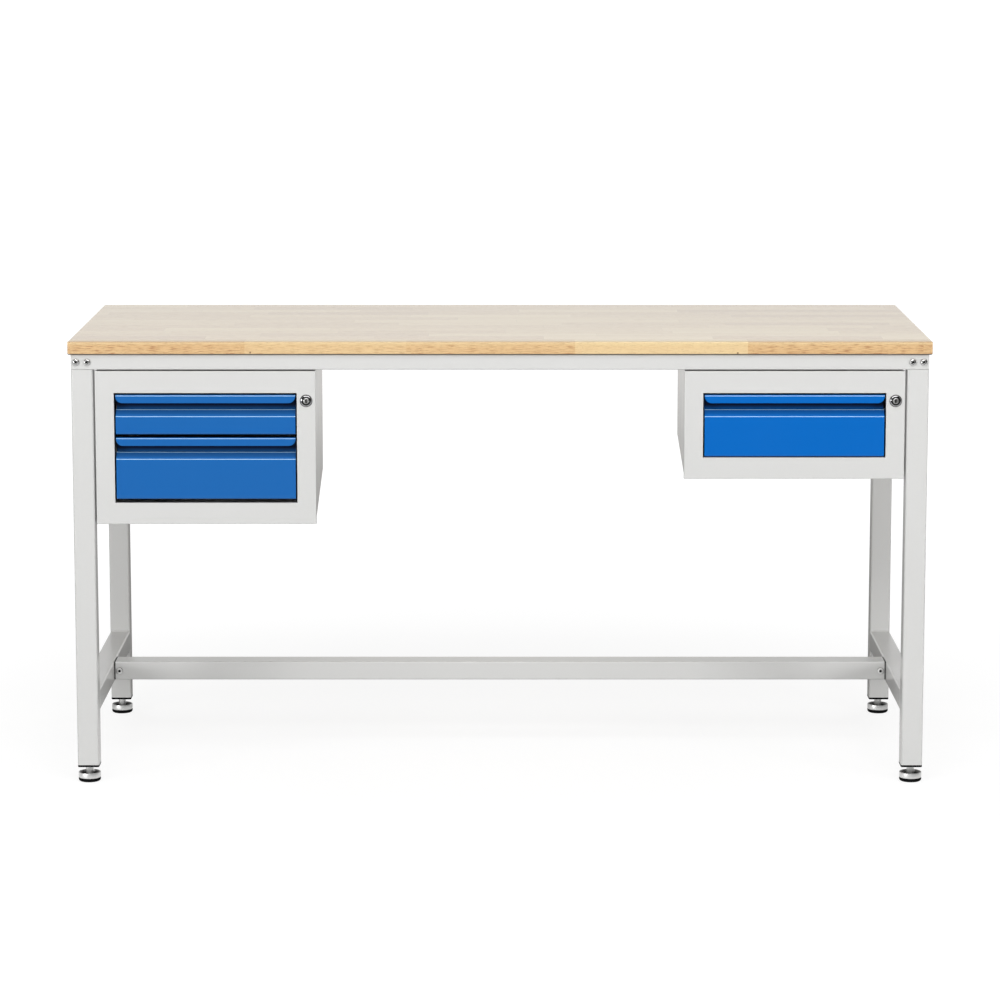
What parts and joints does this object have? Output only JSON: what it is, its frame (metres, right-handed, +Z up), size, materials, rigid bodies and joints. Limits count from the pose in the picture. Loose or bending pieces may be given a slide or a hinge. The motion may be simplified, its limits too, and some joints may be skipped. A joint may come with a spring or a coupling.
{
  "type": "workbench with drawers",
  "caption": "Steel-framed workbench with a laminated wooden top, lockable drawer cabinets under it, a foot rail and levelling feet.",
  "frame": {"origin": "on the floor, under the middle of the worktop", "axes": "+X along the bench to the right seen from the front, +Y to the rear, +Z up"},
  "size_m": [1.8, 0.75, 0.94],
  "materials": {
    "grey_paint": "light grey semi-gloss powder coat",
    "blue_paint": "blue semi-gloss powder coat",
    "beech": "oiled beech laminated from long staves",
    "bright_steel": "bright zinc-plated steel",
    "runner_steel": "galvanised sheet steel",
    "chrome": "polished chrome plate",
    "black_plastic": "moulded black plastic",
    "rubber": "black rubber"
  },
  "bodies": {
    "bench": {"bar_end_plates": "runner_steel", "foot_rail": "grey_paint", "foot_rail_bolts": "bright_steel", "foot_rail_spigots": "black_plastic", "front_left_leg": "grey_paint", "front_rail": "grey_paint", "front_right_leg": "grey_paint", "hanging_screws": "bright_steel", "left_back_panel": "grey_paint", "left_fascia": "grey_paint", "left_floor_panel": "grey_paint", "left_lock_body": "chrome", "left_side_panels": "grey_paint", "left_side_rail": "grey_paint", "left_top_bar": "grey_paint", "leg_plugs": "black_plastic", "lock_bar_guides": "runner_steel", "outer_runners": "runner_steel", "rail_bolts": "bright_steel", "rear_left_leg": "grey_paint", "rear_rail": "grey_paint", "rear_right_leg": "grey_paint", "right_back_panel": "grey_paint", "right_fascia": "grey_paint", "right_floor_panel": "grey_paint", "right_lock_body": "chrome", "right_side_panels": "grey_paint", "right_side_rail": "grey_paint", "right_top_bar": "grey_paint", "runner_brackets": "grey_paint", "worktop": "beech", "worktop_screws": "bright_steel"},
    "upper_left_drawer": {"upper_left_drawer_front": "blue_paint", "upper_left_drawer_tray": "grey_paint", "upper_left_inner_runners": "runner_steel"},
    "upper_left_runner_middles": {"upper_left_middle_runners": "runner_steel"},
    "lower_left_drawer": {"lower_left_drawer_front": "blue_paint", "lower_left_drawer_tray": "grey_paint", "lower_left_inner_runners": "runner_steel"},
    "lower_left_runner_middles": {"lower_left_middle_runners": "runner_steel"},
    "right_drawer": {"right_drawer_front": "blue_paint", "right_drawer_tray": "grey_paint", "right_inner_runners": "runner_steel"},
    "right_runner_middles": {"right_middle_runners": "runner_steel"},
    "left_lock": {"left_lock_barrel": "chrome", "left_lock_cam": "runner_steel"},
    "left_lock_lifter": {"left_lock_bar": "runner_steel"},
    "right_lock": {"right_lock_barrel": "chrome", "right_lock_cam": "runner_steel"},
    "right_lock_lifter": {"right_lock_bar": "runner_steel"},
    "front_left_foot": {"front_left_foot": "bright_steel", "front_left_foot_rubber": "rubber"},
    "front_right_foot": {"front_right_foot": "bright_steel", "front_right_foot_rubber": "rubber"},
    "rear_left_foot": {"rear_left_foot": "bright_steel", "rear_left_foot_rubber": "rubber"},
    "rear_right_foot": {"rear_right_foot": "bright_steel", "rear_right_foot_rubber": "rubber"}
  },
  "joints": [
    {"name": "upper_left_drawer_slide", "type": "slide", "parent": "bench", "child": "upper_left_drawer", "axis": [0, -1, 0], "range_m": [0, 0.25]},
    {"name": "upper_left_runner_slide", "type": "slide", "parent": "bench", "child": "upper_left_runner_middles", "axis": [0, -1, 0], "range_m": [0, 0.125]},
    {"name": "lower_left_drawer_slide", "type": "slide", "parent": "bench", "child": "lower_left_drawer", "axis": [0, -1, 0], "range_m": [0, 0.25]},
    {"name": "lower_left_runner_slide", "type": "slide", "parent": "bench", "child": "lower_left_runner_middles", "axis": [0, -1, 0], "range_m": [0, 0.125]},
    {"name": "right_drawer_slide", "type": "slide", "parent": "bench", "child": "right_drawer", "axis": [0, -1, 0], "range_m": [0, 0.25]},
    {"name": "right_runner_slide", "type": "slide", "parent": "bench", "child": "right_runner_middles", "axis": [0, -1, 0], "range_m": [0, 0.125]},
    {"name": "left_lock_turn", "type": "hinge", "parent": "bench", "child": "left_lock", "pos_m": [-0.4045, -0.36, 0.8155], "axis": [0, 1, 0], "range_deg": [0, 90]},
    {"name": "left_lock_bar_slide", "type": "slide", "parent": "bench", "child": "left_lock_lifter", "axis": [0, 0, 1], "range_m": [0, 0.012]},
    {"name": "right_lock_turn", "type": "hinge", "parent": "bench", "child": "right_lock", "pos_m": [0.8255, -0.36, 0.8155], "axis": [0, 1, 0], "range_deg": [0, 90]},
    {"name": "right_lock_bar_slide", "type": "slide", "parent": "bench", "child": "right_lock_lifter", "axis": [0, 0, 1], "range_m": [0, 0.012]},
    {"name": "front_left_foot_screw", "type": "slide", "parent": "bench", "child": "front_left_foot", "axis": [0, 0, -1], "range_m": [-0.0025, 0.02]},
    {"name": "front_right_foot_screw", "type": "slide", "parent": "bench", "child": "front_right_foot", "axis": [0, 0, -1], "range_m": [-0.0025, 0.02]},
    {"name": "rear_left_foot_screw", "type": "slide", "parent": "bench", "child": "rear_left_foot", "axis": [0, 0, -1], "range_m": [-0.0025, 0.02]},
    {"name": "rear_right_foot_screw", "type": "slide", "parent": "bench", "child": "rear_right_foot", "axis": [0, 0, -1], "range_m": [-0.0025, 0.02]}
  ],
  "couplings": [
    {"joint": "upper_left_runner_slide", "follows": "upper_left_drawer_slide", "ratio": 0.5},
    {"joint": "lower_left_runner_slide", "follows": "lower_left_drawer_slide", "ratio": 0.5},
    {"joint": "right_runner_slide", "follows": "right_drawer_slide", "ratio": 0.5},
    {"joint": "left_lock_turn", "follows": "left_lock_bar_slide", "rad_per_m": 130.89},
    {"joint": "right_lock_turn", "follows": "right_lock_bar_slide", "rad_per_m": 130.89}
  ]
}
